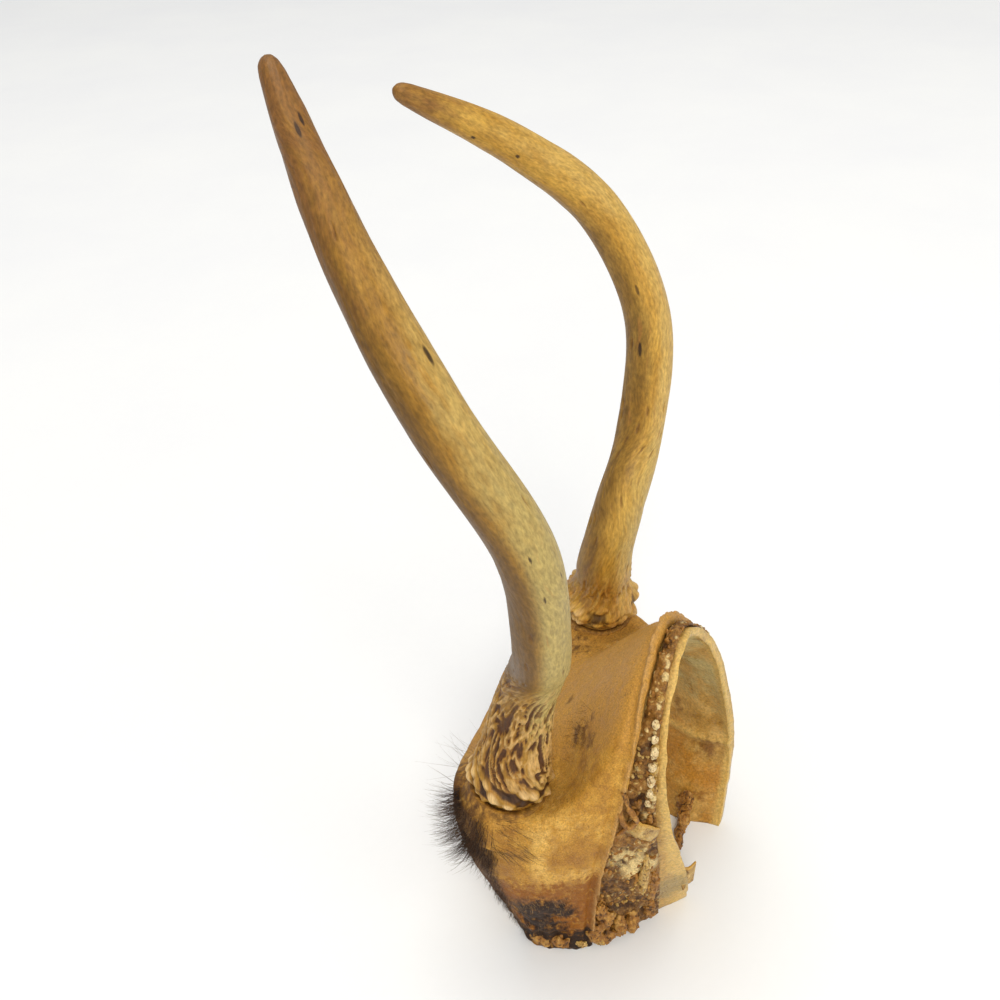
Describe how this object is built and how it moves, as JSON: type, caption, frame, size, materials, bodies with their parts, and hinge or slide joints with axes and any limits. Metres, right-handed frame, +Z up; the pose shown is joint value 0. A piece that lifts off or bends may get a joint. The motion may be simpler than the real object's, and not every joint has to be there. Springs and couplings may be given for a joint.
{
  "type": "deer antlers on skull plate",
  "caption": "Pair of curved deer spike antlers on a sawn skull plate with dried hide, standing upright on its cut lower ends.",
  "frame": {"origin": "bottom centre of the bounding box, on the surface the skull plate stands on", "axes": "+Z up along the antlers, +Y towards the nose, +X towards the animal's right"},
  "size_m": [0.1406, 0.1094, 0.2579],
  "materials": {
    "left_antler": "weathered antler, golden tan with a green-grey side and a dark ridged base",
    "right_antler": "weathered antler, golden tan with an orange-brown base",
    "skull_plate": "dry bone, olive grey to amber inside, pale at the broken rim",
    "hide": "dried scraped hide, golden tan and fibrous",
    "dried_flesh": "dark crumbly dried flesh with pale flecks",
    "fur_tuft": "dark brown hair"
  },
  "bodies": {
    "root": {"left_antler": "left_antler", "right_antler": "right_antler", "skull_plate": "skull_plate", "hide": "hide", "dried_flesh": "dried_flesh", "fur_tuft": "fur_tuft"}
  },
  "joints": []
}
